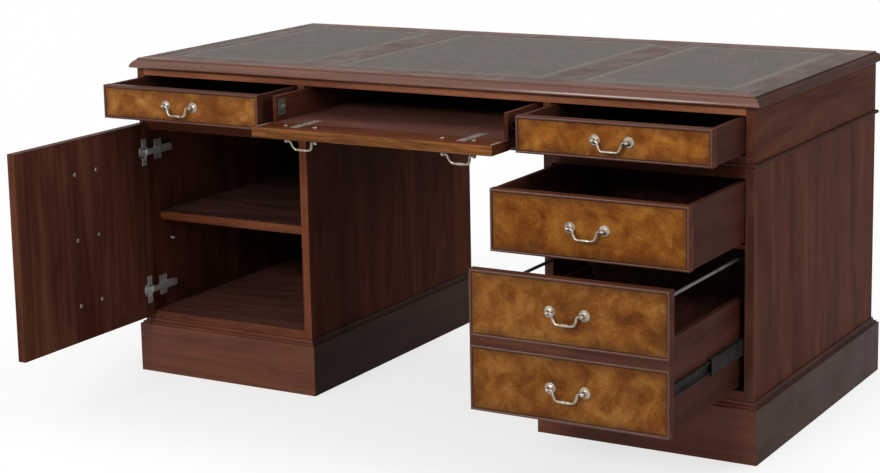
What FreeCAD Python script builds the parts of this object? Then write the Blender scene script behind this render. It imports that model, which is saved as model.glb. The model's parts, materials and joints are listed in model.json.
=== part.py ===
"""Partners desk: twin pedestals under a frieze section and a leather-lined top.

Millimetres. X runs to the right, Y to the back and Z up. The origin lies on the floor, midway
between the pedestals and midway between front and back. The desk stands in use: the cupboard
door, the drawers, the keyboard tray and its drop front are open.
"""
import FreeCAD, Part
import math
import os

from FreeCAD import Vector

# ---- driving dimensions ---------------------------------------------------------------------
TOP_W, TOP_D, TOP_H = 1600.0, 790.0, 770.0  # over the moulded edge, and the height of the top
OVERHANG = 14.0                             # moulded edge past the carcass
TOP_T = 22.0
PANEL = 20.0                                # carcass boards
BACK = 18.0                                 # back boards
PEDESTAL_W = 480.0
PEDESTAL_H = 620.0
PLINTH_H, PLINTH_OUT = 119.0, 14.0
PLINTH_CAP_H = 12.0                         # stepped moulding on the plinth
FLOOR_BOARD = 20.0                          # bottom board of a pedestal
LEATHER_BORDER = 80.0                       # wood round and between the leathers
LEATHER_SIDE_W = 367.0
LEATHER_T = 1.6

FRONT_T = 20.0                              # drawer fronts, door and drop front
BEAD_W, BEAD_OUT = 5.5, 2.5                 # cock bead: width and how far it stands proud
FRONT_GAP = 2.0
FRIEZE_FRONT_Z = (650.0, 728.0)
UPPER_FRONT_Z = (466.0, 596.0)
FILE_FRONT_Z = (158.0, 450.0)
FILE_RAIL_Z = (294.0, 312.5)                # plain band between the two halves of the file front
BOX_T, BOX_BOTTOM_T = 12.0, 6.0

DOOR_Z = (141.0, 615.5)
DOOR_REVEAL = 3.0
SHELF_TOP, SHELF_T, SHELF_SETBACK = 390.0, 20.0, 37.0
HANGING_FILE_W = 340.0                      # between the file drawer's two rails

# how far each moving piece stands open
LEFT_DRAWER_OUT = 154.0
RIGHT_DRAWER_OUT = 168.0
UPPER_DRAWER_OUT = 282.0
FILE_DRAWER_OUT = 374.0
TRAY_OUT = 161.0
DOOR_OPEN = 90.0                            # degrees
FRIEZE_BOX_L, PEDESTAL_BOX_L = 560.0, 520.0

# ball-bearing slides of the file drawer, and the plainer ones of the keyboard tray
SLIDE_L, SLIDE_T, SLIDE_SHEET = 500.0, 13.0, 1.4
SLIDE_OUTER_H, SLIDE_MIDDLE_H, SLIDE_INNER_H = 45.0, 35.0, 25.0
SLIDE_Z = 246.0
TRAY_SLIDE_L, TRAY_SLIDE_H, TRAY_SLIDE_T = 400.0, 27.0, 10.0

# swan-neck bail handles
BAIL_CENTRES = 76.0
BAIL_R, BAIL_PIN_R, BAIL_PIN_GAP = 2.9, 1.7, 0.06
FLAP_BAIL_LEAN = 18.0                       # degrees that the drop front's bails stick back
POST_OUT = 12.5                             # pivot to the face of the front
ROSETTE_R, POST_R, BALL_R = 12.0, 3.4, 5.0
BOLT_R, BOLT_HOLE_R, BOLT_HEAD_R, BOLT_HEAD_T = 2.0, 2.3, 5.0, 2.4

# ---- derived places -------------------------------------------------------------------------
HALF_W = TOP_W / 2 - OVERHANG               # carcass faces
HALF_D = TOP_D / 2 - OVERHANG
FRIEZE_Z0 = PEDESTAL_H
FRIEZE_Z1 = TOP_H - TOP_T
INNER_X = HALF_W - PEDESTAL_W               # kneehole face of a pedestal
OPEN_X0, OPEN_X1 = INNER_X + PANEL, HALF_W - PANEL
FRONT_X0, FRONT_X1 = OPEN_X0 + FRONT_GAP, OPEN_X1 - FRONT_GAP
BASE_TOP = PLINTH_H + PLINTH_CAP_H          # underside of a pedestal's bottom board
CABINET_FLOOR = BASE_TOP + FLOOR_BOARD
FRIEZE_RAIL_TOP = FRIEZE_FRONT_Z[0] - BEAD_OUT - 0.4
TOP_RAIL_Z = FRIEZE_FRONT_Z[1] + FRONT_GAP
PEDESTAL_X = (OPEN_X0 + OPEN_X1) / 2        # middle of a pedestal's opening


# ---- shape helpers --------------------------------------------------------------------------
def box(x, y, z):
    """A block between the low and high value of each axis."""
    low = Vector(min(x), min(y), min(z))
    return Part.makeBox(max(x) - min(x), max(y) - min(y), max(z) - min(z), low)


def rod(start, end, radius):
    axis = Vector(*end) - Vector(*start)
    return Part.makeCylinder(radius, axis.Length, Vector(*start), axis)


def outline(steps, to_point):
    """A closed wire. A step is a point, or (through, end) for an arc from the point before."""
    edges = []
    here = first = to_point(steps[0])
    for step in steps[1:] + [steps[0]]:
        if isinstance(step[0], tuple):
            through, end = to_point(step[0]), to_point(step[1])
            edges.append(Part.Arc(here, through, end).toShape())
        else:
            end = to_point(step)
            if end.isEqual(here, 1e-6):
                continue
            edges.append(Part.LineSegment(here, end).toShape())
        here = end
    return Part.Wire(edges)


def extrude_x(steps, x0, x1):
    """A (y, z) outline drawn out from x0 to x1."""
    face = Part.Face(outline(steps, lambda p: Vector(x0, p[0], p[1])))
    return face.extrude(Vector(x1 - x0, 0, 0))


def extrude_y(steps, y0, y1):
    """An (x, z) outline drawn out from y0 to y1."""
    face = Part.Face(outline(steps, lambda p: Vector(p[0], y0, p[1])))
    return face.extrude(Vector(0, y1 - y0, 0))


def turned(steps, centre, axis="y"):
    """A (radius, along) outline turned about a line through centre that points along -Y or +X."""
    def place(p):
        return Vector(p[0], 0, p[1])

    solid = Part.Face(outline(steps, place)).revolve(Vector(), Vector(0, 0, 1), 360)
    if axis == "y":
        solid.rotate(Vector(), Vector(1, 0, 0), 90)
    else:
        solid.rotate(Vector(), Vector(0, 1, 0), 90)
    solid.translate(Vector(*centre))
    return solid


def mitred_frame(profile, x, y, faces="fblr"):
    """Lengths of moulding round the rectangle x by y, mitred at its corners.

    The profile is (outward, z). faces names the sides: front, back, left, right."""
    reach = 60.0
    (x0, x1), (y0, y1) = x, y
    middle = Vector((x0 + x1) / 2, (y0 + y1) / 2, 0)
    lengths = []
    for face, turn, half_run, half_out in (
        ("f", 0, (x1 - x0) / 2, (y1 - y0) / 2),
        ("r", 90, (y1 - y0) / 2, (x1 - x0) / 2),
        ("b", 180, (x1 - x0) / 2, (y1 - y0) / 2),
        ("l", 270, (y1 - y0) / 2, (x1 - x0) / 2),
    ):
        if face not in faces:
            continue
        wire = outline(profile, lambda p: Vector(-half_run - reach, -half_out - p[0], p[1]))
        bar = Part.Face(wire).extrude(Vector(2 * (half_run + reach), 0, 0))
        corners = [
            Vector(-half_run - reach, -half_out - reach, -1),
            Vector(half_run + reach, -half_out - reach, -1),
            Vector(half_run - reach, -half_out + reach, -1),
            Vector(-half_run + reach, -half_out + reach, -1),
        ]
        mitre = Part.Face(Part.makePolygon(corners + corners[:1])).extrude(Vector(0, 0, 900))
        length = bar.common(mitre)
        length.rotate(Vector(), Vector(0, 0, 1), turn)
        length.translate(middle)
        lengths.append(length)
    return lengths


def mirrored(shape):
    return shape.mirror(Vector(), Vector(1, 0, 0))


def moved(shapes, y=0.0):
    """Copies shifted along Y."""
    copies = []
    for shape in shapes:
        copy = shape.copy()
        copy.translate(Vector(0, y, 0))
        copies.append(copy)
    return copies


NODES = {}


def node(name, shapes):
    """Files the solids of one named piece, or of one set of like pieces."""
    shapes = shapes if isinstance(shapes, list) else [shapes]
    NODES[name] = [solid for shape in shapes for solid in shape.Solids]


# ---- top ------------------------------------------------------------------------------------
def top():
    lipping = 30.0
    z0, z1 = FRIEZE_Z1, TOP_H
    core_x, core_y = HALF_W - lipping, HALF_D - lipping
    # a small quirk under the arris, a flat thumb and a rounded lip
    thumb = [
        (-lipping, z0),
        (OVERHANG - 2.4, z0),
        ((OVERHANG - 0.5, z0 + 0.8), (OVERHANG, z0 + 2.6)),
        (OVERHANG, z0 + 4.2),
        ((OVERHANG - 4.4, z1 - 10), (3, z1 - 4)),
        (0, z1 - 3.6),
        (0, z1),
        (-lipping, z1),
    ]
    node("top_edge_moulding", mitred_frame(thumb, (-HALF_W, HALF_W), (-HALF_D, HALF_D)))

    outer_x = TOP_W / 2 - LEATHER_BORDER
    centre_x = outer_x - LEATHER_SIDE_W - LEATHER_BORDER
    leather_y = TOP_D / 2 - LEATHER_BORDER
    pocket = LEATHER_T + 0.2
    inset = 0.3
    right = (outer_x - LEATHER_SIDE_W, outer_x)
    board = box((-core_x, core_x), (-core_y, core_y), (z0, z1))
    skins = []
    for low, high in ((-centre_x, centre_x), right, (-right[1], -right[0])):
        board = board.cut(box((low, high), (-leather_y, leather_y), (z1 - pocket, z1 + 5)))
        skins.append(box((low + inset, high - inset), (-leather_y + inset, leather_y - inset),
                         (z1 - pocket, z1 - pocket + LEATHER_T)))
    node("top_panel", board)
    node("leather_centre", skins[0])
    node("leather_sides", skins[1:])


# ---- frieze section -------------------------------------------------------------------------
def frieze():
    z0, z1 = FRIEZE_Z0, FRIEZE_Z1
    rail_depth = 22.0
    shelf_t = 18.0
    back_y = HALF_D - BACK
    rail_y = -HALF_D + rail_depth
    inside = (-OPEN_X1, OPEN_X1)
    end = box((OPEN_X1, HALF_W), (-HALF_D, HALF_D), (z0, z1))
    node("frieze_ends", [end, mirrored(end)])
    node("frieze_back", box(inside, (back_y, HALF_D), (z0, z1)))
    node("frieze_top_rail", box(inside, (-HALF_D, rail_y), (TOP_RAIL_Z, z1)))
    # the bottom board is lipped at the front up to the drawers
    floor = [
        (-HALF_D, z0),
        (back_y, z0),
        (back_y, z0 + shelf_t),
        (rail_y, z0 + shelf_t),
        (rail_y, FRIEZE_RAIL_TOP),
        (-HALF_D, FRIEZE_RAIL_TOP),
    ]
    node("frieze_bottom", extrude_x(floor, *inside))
    # each divider is notched over the lipping and under the top rail
    divider = [
        (-HALF_D, FRIEZE_RAIL_TOP),
        (rail_y, FRIEZE_RAIL_TOP),
        (rail_y, z0 + shelf_t),
        (back_y, z0 + shelf_t),
        (back_y, z1),
        (rail_y, z1),
        (rail_y, TOP_RAIL_Z),
        (-HALF_D, TOP_RAIL_Z),
    ]
    right = extrude_x(divider, INNER_X, OPEN_X0 - 2)
    node("frieze_dividers", [right, mirrored(right)])

    rim = ((-HALF_W, HALF_W), (-HALF_D, HALF_D))
    # half-round bead just above the pedestals
    waist = [
        (0, z0 + 3),
        (3, z0 + 3),
        ((7, z0 + 7.5), (3, z0 + 12)),
        (0, z0 + 12),
    ]
    node("frieze_bead", mitred_frame(waist, *rim))


# ---- pedestals ------------------------------------------------------------------------------
def pedestals():
    """Both pedestals: the right one is drawn and mirrored for the left."""
    across = (OPEN_X0, OPEN_X1)
    board_y = (-HALF_D, HALF_D - BACK)
    sides = [box(x, (-HALF_D, HALF_D), (0, PEDESTAL_H))
             for x in ((INNER_X, OPEN_X0), (OPEN_X1, HALF_W))]
    node("right_sides", sides)
    drilled = [side.cut([stud_hole(*place) for place in stud_places()]) for side in sides]
    node("left_sides", [mirrored(side) for side in drilled])
    boards = [box(across, board_y, z)
              for z in ((PEDESTAL_H - PANEL, PEDESTAL_H), (BASE_TOP, CABINET_FLOOR))]
    node("pedestal_boards", boards + [mirrored(board) for board in boards])
    back = fielded_back(across)
    node("pedestal_backs", [back, mirrored(back)])
    plinth = [
        (0, 0),
        (PLINTH_OUT, 0),
        (PLINTH_OUT, PLINTH_H - 3),
        ((PLINTH_OUT - 0.9, PLINTH_H - 0.9), (PLINTH_OUT - 3, PLINTH_H)),
        (PLINTH_OUT - 5, PLINTH_H),
        (PLINTH_OUT - 5, PLINTH_H + 4),
        ((4.5, PLINTH_H + 5.5), (3, PLINTH_H + 9)),
        (3, BASE_TOP),
        (0, BASE_TOP),
    ]
    lengths = mitred_frame(plinth, (INNER_X, HALF_W), (-HALF_D, HALF_D))
    node("plinths", lengths + [mirrored(length) for length in lengths])
    rail_y = (-HALF_D, -HALF_D + 60)
    node("right_drawer_rail", box(across, rail_y, (453.5, 462.5)))


def drawer_bearers():
    """Strips on both sides of an opening, which the wooden drawers run on."""
    depth = (-HALF_D + 60, HALF_D - BACK)
    width = 24.0

    def strips(x0, x1, z0, z1):
        return [box((x0, x0 + width), depth, (z0, z1)), box((x1 - width, x1), depth, (z0, z1))]

    frieze_set = strips(OPEN_X0 - 2, OPEN_X1, FRIEZE_Z0 + 18, FRIEZE_FRONT_Z[0] + 2)
    upper_set = strips(OPEN_X0, OPEN_X1, UPPER_FRONT_Z[0] - 3.5, UPPER_FRONT_Z[0] + 2)
    node("drawer_bearers", frieze_set + [mirrored(s) for s in frieze_set] + upper_set)


def fielded_back(across):
    """The back of a pedestal: a raised and bevelled field inside a flat border."""
    border, bevel, sunk = 55.0, 22.0, 5.0
    z = (0.0, PEDESTAL_H)
    back_y = HALF_D - BACK
    board = box(across, (back_y, HALF_D), z)
    field_x = (across[0] + border, across[1] - border)
    field_z = (PLINTH_H + border, z[1] - border)

    def ring(inset, y):
        corners = [
            Vector(field_x[0] + inset, y, field_z[0] + inset),
            Vector(field_x[1] - inset, y, field_z[0] + inset),
            Vector(field_x[1] - inset, y, field_z[1] - inset),
            Vector(field_x[0] + inset, y, field_z[1] - inset),
        ]
        return Part.makePolygon(corners + corners[:1])

    pocket = box(field_x, (HALF_D - sunk, HALF_D + 1), field_z)
    field = Part.makeLoft([ring(0, HALF_D - sunk), ring(bevel, HALF_D - 1)], True, True)
    return board.cut(pocket.cut(field))


def cupboard_shelf():
    clear = 1.0
    shelf_x = (-OPEN_X1 + clear, -OPEN_X0 - clear)
    shelf_y = (-HALF_D + SHELF_SETBACK, HALF_D - BACK - 6)
    nose = 3.0
    z0, z1 = SHELF_TOP - SHELF_T, SHELF_TOP
    profile = [
        (shelf_y[0] + nose, z0),
        (shelf_y[1], z0),
        (shelf_y[1], z1),
        (shelf_y[0] + nose, z1),
        ((shelf_y[0], (z0 + z1) / 2), (shelf_y[0] + nose, z0)),
    ]
    node("cupboard_shelf", extrude_x(profile, *shelf_x))


STUD_R, STUD_DEEP, STUD_OUT = 2.5, 9.0, 9.0
STUD_Y = (-302.0, 280.0)
SPARE_STUD_Z = 317.0


def stud_places():
    """(wall x, direction into the cupboard, y, z) of each shelf stud, on the right-hand model."""
    z = SHELF_TOP - SHELF_T - STUD_R
    places = [(wall, into, y, z) for wall, into in ((OPEN_X1, -1), (OPEN_X0, 1)) for y in STUD_Y]
    return places + [(OPEN_X1, -1, STUD_Y[0], SPARE_STUD_Z)]


def stud_hole(wall, into, y, z):
    return rod((wall - into * (STUD_DEEP + 1), y, z), (wall + into, y, z), STUD_R + 0.1)


def shelf_studs():
    studs = []
    for wall, into, y, z in stud_places():
        shank = rod((wall - into * STUD_DEEP, y, z), (wall + into * STUD_OUT, y, z), STUD_R)
        collar = rod((wall, y, z), (wall + into * 0.8, y, z), STUD_R + 1.2)
        studs.append(mirrored(shank.fuse(collar).removeSplitter()))
    node("shelf_studs", studs)


# ---- handles --------------------------------------------------------------------------------
def bail_path():
    """Centre line of the bow in its own plane, and the height of its straight foot.

    From the right post the neck turns down, sweeps inwards and levels out at the foot."""
    half_bow = [("turn", 5.0, 80.0), ("run", 3.5), ("turn", 22.0, -28.0), ("turn", 9.0, -52.0)]
    edges = []
    x, z, heading = BAIL_CENTRES / 2 - BALL_R - 1.5, 0.0, math.pi

    def run(length):
        nonlocal x, z
        end_x, end_z = x + length * math.cos(heading), z + length * math.sin(heading)
        edges.append(Part.LineSegment(Vector(x, 0, z), Vector(end_x, 0, end_z)).toShape())
        x, z = end_x, end_z

    def turn(radius, degrees):
        nonlocal x, z, heading
        side = math.copysign(1, degrees)
        cx = x - side * radius * math.sin(heading)
        cz = z + side * radius * math.cos(heading)

        def at(angle):
            return Vector(cx + side * radius * math.sin(angle), 0,
                          cz - side * radius * math.cos(angle))

        sweep = math.radians(degrees)
        end = at(heading + sweep)
        edges.append(Part.Arc(Vector(x, 0, z), at(heading + sweep / 2), end).toShape())
        x, z, heading = end.x, end.z, heading + sweep

    moves = {"run": run, "turn": turn}
    for name, *sizes in half_bow:
        moves[name](*sizes)
    foot = z
    run(2 * x)
    for name, *sizes in reversed(half_bow):
        moves[name](*sizes)
    return Part.Wire(edges), foot


def bail(centre, y):
    """A swan-neck bail, hanging. centre is (x, z) of the pivot line, y its place."""
    path, foot = bail_path()
    neck = BAIL_CENTRES / 2 - BALL_R - 1.5
    ring = Part.Wire(Part.Circle(Vector(neck, 0, 0), Vector(-1, 0, 0), BAIL_R).toShape())
    bow = path.makePipe(Part.Face(ring))
    # the bow swells at its foot, where it is gripped
    swell = [(0, -13), (BAIL_R - 0.3, -13), (BAIL_R + 0.8, -5), (BAIL_R + 0.8, 5),
             (BAIL_R - 0.3, 13), (0, 13)]
    pieces = [turned(swell, (0, 0, foot), axis="x")]
    for side in (-1, 1):
        pieces.append(rod((side * neck, 0, 0), (side * (neck + 1.2), 0, 0), BAIL_R))
        pieces.append(rod((side * neck, 0, 0), (side * (BAIL_CENTRES / 2 + 3.6), 0, 0), BAIL_PIN_R))
    bow = bow.fuse(pieces).removeSplitter()
    bow.translate(Vector(centre[0], y, centre[1]))
    return bow


def post(x, z, face_y):
    """A turned rosette and post with its through bolt, for a front whose face is at face_y."""
    inner_face = -FRONT_T
    pivot = POST_OUT
    profile = [
        (0, inner_face - BOLT_HEAD_T),
        (BOLT_HEAD_R - 1, inner_face - BOLT_HEAD_T),
        (BOLT_HEAD_R, inner_face - BOLT_HEAD_T + 1),
        (BOLT_HEAD_R, inner_face),
        (BOLT_R, inner_face),
        (BOLT_R, 0),
        (ROSETTE_R, 0),
        (ROSETTE_R, 1.2),
        (ROSETTE_R - 1.4, 2.2),
        (ROSETTE_R - 4.4, 2.6),
        (POST_R + 1.2, 4.4),
        (POST_R, 6.8),
        (POST_R, pivot - math.sqrt(BALL_R ** 2 - POST_R ** 2)),
        ((BALL_R, pivot), (0, pivot + BALL_R)),
    ]
    solid = turned(profile, (x, face_y, z))
    eye_y = face_y - pivot
    eye = rod((x - 9, eye_y, z), (x + 9, eye_y, z), BAIL_PIN_R + BAIL_PIN_GAP)
    return solid.cut(eye)


def handle_posts(centre, face_y):
    x, z = centre
    half = BAIL_CENTRES / 2
    return [post(x - half, z, face_y), post(x + half, z, face_y)]


def bolt_holes(centre, face_y):
    x, z = centre
    half = BAIL_CENTRES / 2
    return [
        rod((cx, face_y - 1, z), (cx, face_y + FRONT_T + 1, z), BOLT_HOLE_R)
        for cx in (x - half, x + half)
    ]


# ---- fronts ---------------------------------------------------------------------------------
def cock_bead(x, z, face_y):
    """A rounded bead let in round the edge of a front, mitred at the corners."""
    deep = 6.0
    profile = [
        (0, -deep),
        (0, BEAD_OUT - BEAD_W / 2),
        ((-BEAD_W / 2, BEAD_OUT), (-BEAD_W, BEAD_OUT - BEAD_W / 2)),
        (-BEAD_W, -deep),
    ]
    width, height = x[1] - x[0], z[1] - z[0]
    lengths = mitred_frame(profile, (-width / 2, width / 2), (-height / 2, height / 2))
    frame = lengths[0].fuse(lengths[1:]).removeSplitter()
    frame.rotate(Vector(), Vector(1, 0, 0), 90)
    frame.translate(Vector((x[0] + x[1]) / 2, face_y, (z[0] + z[1]) / 2))
    return frame


def beaded_front(x, z, panels, handles, face_y):
    """A front board with a cock bead round each veneered panel."""
    board = box(x, (face_y, face_y + FRONT_T), z)
    for centre in handles:
        board = board.cut(bolt_holes(centre, face_y))
    for panel_x, panel_z in panels:
        board = board.fuse(cock_bead(panel_x, panel_z, face_y))
    return board.removeSplitter()


# ---- drawers --------------------------------------------------------------------------------
def drawer_box(x, z, length, side_top=None):
    """Sides, back and bottom of a drawer box, closed, behind a front at the carcass face."""
    y0 = -HALF_D + FRONT_T
    y1 = y0 + length
    z0, z1 = z
    side_top = side_top or z1
    groove, groove_deep = z0 + 9.0, 5.0
    bottom_z = (groove, groove + BOX_BOTTOM_T)
    bottom = box((x[0] + BOX_T - groove_deep + 0.2, x[1] - BOX_T + groove_deep - 0.2),
                 (y0 + 0.2, y1 - BOX_T + groove_deep - 0.2), bottom_z)
    channel = box((x[0] + BOX_T - groove_deep, x[1] - BOX_T + groove_deep),
                  (y0 - 1, y1 - BOX_T + groove_deep), bottom_z)
    back = box((x[0] + BOX_T, x[1] - BOX_T), (y1 - BOX_T, y1), (z0, z1))
    if side_top < z1:
        # a back that stands higher than the sides is carried across over them
        back = back.fuse(box(x, (y1 - BOX_T, y1), (side_top, z1))).removeSplitter()
    walls = [
        box((x[0], x[0] + BOX_T), (y0, y1), (z0, side_top)),
        box((x[1] - BOX_T, x[1]), (y0, y1), (z0, side_top)),
        back,
    ]
    return [wall.cut(channel) for wall in walls] + [bottom]


def plain_drawer(name, side, z, length, out):
    """A drawer with one burr panel and one handle, its box as wide as its front."""
    x = (FRONT_X0, FRONT_X1)
    centre = (PEDESTAL_X, (z[0] + z[1]) / 2)
    if side == "left":
        x = (-FRONT_X1, -FRONT_X0)
        centre = (-PEDESTAL_X, centre[1])
    face_y = -HALF_D
    front = beaded_front(x, z, [(x, z)], [centre], face_y)
    carcass = drawer_box(x, (z[0] + 2.3, z[1] - 1), length)
    node(f"{name}_front", moved([front], -out))
    node(f"{name}_box", moved(carcass, -out))
    node(f"{name}_handle_posts", moved(handle_posts(centre, face_y), -out))
    node(f"{name}_bail", bail(centre, face_y - POST_OUT - out))


def file_panels():
    """(x, z) of the two veneered halves of the file drawer's front."""
    x = (FRONT_X0, FRONT_X1)
    return [(x, (FILE_RAIL_Z[1], FILE_FRONT_Z[1])), (x, (FILE_FRONT_Z[0], FILE_RAIL_Z[0]))]


def file_drawer():
    out = -FILE_DRAWER_OUT
    face_y = -HALF_D
    panels = file_panels()
    centres = [(PEDESTAL_X, (z[0] + z[1]) / 2) for _, z in panels]
    front = beaded_front((FRONT_X0, FRONT_X1), FILE_FRONT_Z, panels, centres, face_y)
    box_x = (OPEN_X0 + SLIDE_T, OPEN_X1 - SLIDE_T)
    low, high = FILE_FRONT_Z[0] + 2.5, 348.0
    rail_z = (426.0, 432.0)
    walls = drawer_box(box_x, (low, rail_z[0]), SLIDE_L, side_top=high)
    node("file_drawer_front", moved([front], out))
    node("file_drawer_box", moved(walls, out))
    # two flat rails carry the hanging files, from the front to the raised back
    y0 = -HALF_D + FRONT_T
    foot = 12.0
    rails = []
    for x in (box_x[1] - 8.5 - HANGING_FILE_W, box_x[1] - 8.5):
        bar = box((x, x + 3), (y0, y0 + SLIDE_L), rail_z)
        tab = box((x, x + 3), (y0, y0 + 3), (rail_z[0] - foot, rail_z[0]))
        rails.append(bar.fuse(tab).removeSplitter())
    node("file_drawer_rails", moved(rails, out))
    posts = [part for centre in centres for part in handle_posts(centre, face_y)]
    node("file_drawer_handle_posts", moved(posts, out))
    for label, centre in zip(("upper", "lower"), centres):
        node(f"file_drawer_{label}_bail", bail(centre, face_y - POST_OUT + out))


# ---- telescopic slides ----------------------------------------------------------------------
def channel(height, u0, u1, lip, sheet, web_at_low):
    """Section of a rolled slide member as (u, z): a web and two flanges whose edges turn in.

    u is counted from the carcass side towards the drawer."""
    h = height / 2
    web = (u0, u0 + sheet) if web_at_low else (u1, u1 - sheet)
    edge = u1 if web_at_low else u0
    inward = -sheet if web_at_low else sheet
    bend = 1.6
    step = bend if web_at_low else -bend
    return [
        (web[0] + step, -h),
        (edge, -h),
        (edge, -h + lip),
        (edge + inward, -h + lip),
        (edge + inward, -h + sheet),
        (web[1] + step, -h + sheet),
        (web[1], -h + sheet + bend),
        (web[1], h - sheet - bend),
        (web[1] + step, h - sheet),
        (edge + inward, h - sheet),
        (edge + inward, h - lip),
        (edge, h - lip),
        (edge, h),
        (web[0] + step, h),
        (web[0], h - bend),
        (web[0], -h + bend),
    ]


def slide_member(section, wall_x, toward, y, z):
    steps = [(wall_x + toward * u, z + v) for u, v in section]
    return extrude_y(steps, *y)


def slide_pair(section, walls, y, z):
    return [slide_member(section, wall, toward, y, z) for wall, toward in walls]


def file_slides():
    walls = ((OPEN_X1, -1), (OPEN_X0, 1))
    y0 = -HALF_D + FRONT_T
    inner_y = (y0, y0 + SLIDE_L)
    # the two members behind it stop short of the closed front
    fixed_y = (y0 + 1.0, y0 + SLIDE_L)
    sheet = SLIDE_SHEET
    outer = channel(SLIDE_OUTER_H, 0, 10.6, 3.4, sheet, True)
    middle = channel(SLIDE_MIDDLE_H, 2.6, 11.8, 3.2, sheet, True)
    inner = channel(SLIDE_INNER_H, 5.4, SLIDE_T, 2.2, sheet, False)
    node("file_slide_outer", slide_pair(outer, walls, fixed_y, SLIDE_Z))
    half_out = FILE_DRAWER_OUT / 2
    node("file_slide_middle", moved(slide_pair(middle, walls, fixed_y, SLIDE_Z), -half_out))
    node("file_slide_inner", moved(slide_pair(inner, walls, inner_y, SLIDE_Z), -FILE_DRAWER_OUT))


# ---- keyboard tray --------------------------------------------------------------------------
TRAY_HALF = INNER_X - TRAY_SLIDE_T
TRAY_SIDE_T = 9.0
TRAY_BASE = FRIEZE_FRONT_Z[0]
TRAY_TOP = TRAY_BASE + FRONT_T
TRAY_FRONT = -HALF_D + FRONT_T              # front edge of the tray when it is pushed in
TRAY_DEPTH = 420.0
FLAP_HALF = INNER_X - 6.0
FLAP_PIVOT = (TRAY_FRONT - FRONT_T / 2, TRAY_BASE + FRONT_T / 2)
FLAP_HANDLE_X = 198.0
STRAP_X = 209.0                             # strap hinges of the drop front
STRAP_L, STRAP_W, STRAP_T = 52.0, 22.0, 3.0
STRAP_SLOT = 6.0                            # between the cheeks of the drop front's leaf
KNUCKLE_R, KNUCKLE_BOX = 4.2, 6.0
CATCH_X = 287.0


def strap_span(x, half):
    return (x - half, x + half)


def keyboard_tray():
    y0 = TRAY_FRONT + 0.4
    y1 = TRAY_FRONT + TRAY_DEPTH
    board = box((-TRAY_HALF, TRAY_HALF), (y0, y1), (TRAY_BASE + 0.5, TRAY_TOP))
    for x in (-STRAP_X, STRAP_X):
        seat = box(strap_span(x, STRAP_W / 2), (y0 - 1, y0 + STRAP_L),
                   (TRAY_TOP - STRAP_T, TRAY_TOP + 1))
        well = box(strap_span(x, STRAP_SLOT / 2), (y0 - 1, y0 + 8),
                   (FLAP_PIVOT[1] - KNUCKLE_R - 0.2, TRAY_TOP + 1))
        board = board.cut([seat, well])
    node("tray_floor", moved([board], -TRAY_OUT))
    side = box((TRAY_HALF - TRAY_SIDE_T, TRAY_HALF), (y0, y1), (TRAY_TOP, FRIEZE_FRONT_Z[1] - 1))
    node("tray_sides", moved([side, mirrored(side)], -TRAY_OUT))
    # sprung catches stand on the inner faces of the sides, near the front
    wall = TRAY_HALF - TRAY_SIDE_T
    bracket = [
        (wall, TRAY_TOP + 13),
        (wall - 1.5, TRAY_TOP + 13),
        (wall - 1.5, TRAY_TOP + 26),
        (wall - 6, TRAY_TOP + 27),
        ((wall - 8, TRAY_TOP + 31), (wall - 6, TRAY_TOP + 35)),
        (wall - 1.5, TRAY_TOP + 36),
        (wall - 1.5, TRAY_TOP + 49),
        (wall, TRAY_TOP + 49),
    ]
    plate = extrude_y(bracket, y0 + 6, y0 + 34)
    # only the middle of the plate carries the sprung roller
    roller = box((wall - 9, wall - 1.5), (y0 + 14, y0 + 26), (TRAY_TOP + 13, TRAY_TOP + 49))
    spare = box((wall - 9, wall - 1.5), (y0, y0 + 40), (TRAY_TOP + 13, TRAY_TOP + 49)).cut(roller)
    catch = plate.cut(spare)
    node("tray_catches", moved([catch, mirrored(catch)], -TRAY_OUT))


def tray_slides():
    walls = ((INNER_X, -1), (-INNER_X, 1))
    z = (TRAY_TOP + FRIEZE_FRONT_Z[1]) / 2
    outer = channel(TRAY_SLIDE_H, 0, 6.4, 3.0, 1.2, True)
    inner = channel(TRAY_SLIDE_H - 9, 3.4, TRAY_SLIDE_T, 2.4, 1.2, False)
    span = (TRAY_FRONT + 16, TRAY_FRONT + 16 + TRAY_SLIDE_L)
    node("tray_slide_outer", slide_pair(outer, walls, span, z))
    node("tray_slide_inner", moved(slide_pair(inner, walls, span, z), -TRAY_OUT))


def opened_flap(shapes):
    """Turns the drop front from closed down to level, and moves it out with the tray."""
    pivot = Vector(0, *FLAP_PIVOT)
    turned_down = []
    for shape in shapes:
        copy = shape.copy()
        copy.rotate(pivot, Vector(1, 0, 0), 90)
        copy.translate(Vector(0, -TRAY_OUT, 0))
        turned_down.append(copy)
    return turned_down


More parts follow.
